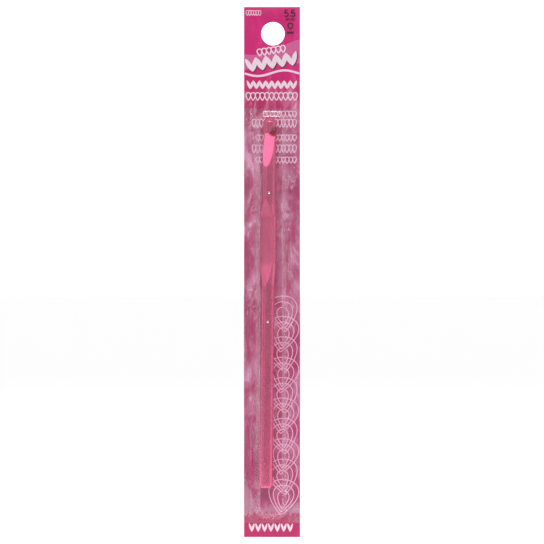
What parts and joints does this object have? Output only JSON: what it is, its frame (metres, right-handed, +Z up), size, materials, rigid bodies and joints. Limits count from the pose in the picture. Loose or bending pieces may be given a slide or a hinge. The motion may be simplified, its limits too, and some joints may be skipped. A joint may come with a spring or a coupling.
{
  "type": "crochet hook",
  "caption": "Straight aluminium crochet hook with cut throat and pressed thumb rest, lying loose in a clear blister that is sealed to a printed card with a hang hole.",
  "frame": {"origin": "on the axis of the card's hang hole, at the card's printed face", "axes": "+Z up along the pack, from the handle's end to the hook's tip; +Y out of the card's back, the way a display peg leaves; printed face and blister to -Y"},
  "size_m": [0.0228, 0.0075, 0.2159],
  "materials": {
    "card": "satin",
    "clear_film": "gloss",
    "anodised_aluminium": "satin"
  },
  "bodies": {
    "card": {"backing_card": "card"},
    "blister": {"blister": "clear_film"},
    "hook": {"crochet_hook": "anodised_aluminium"}
  },
  "joints": [
    {"name": "blister_opening", "type": "hinge", "parent": "card", "child": "blister", "pos_m": [-0.0004, 0, -0.1992], "axis": [1, 0, 0], "range_deg": [0, 90]},
    {"name": "hook_slide", "type": "slide", "parent": "blister", "child": "hook", "axis": [0, 0, -1], "range_m": [0, 0.01]}
  ]
}
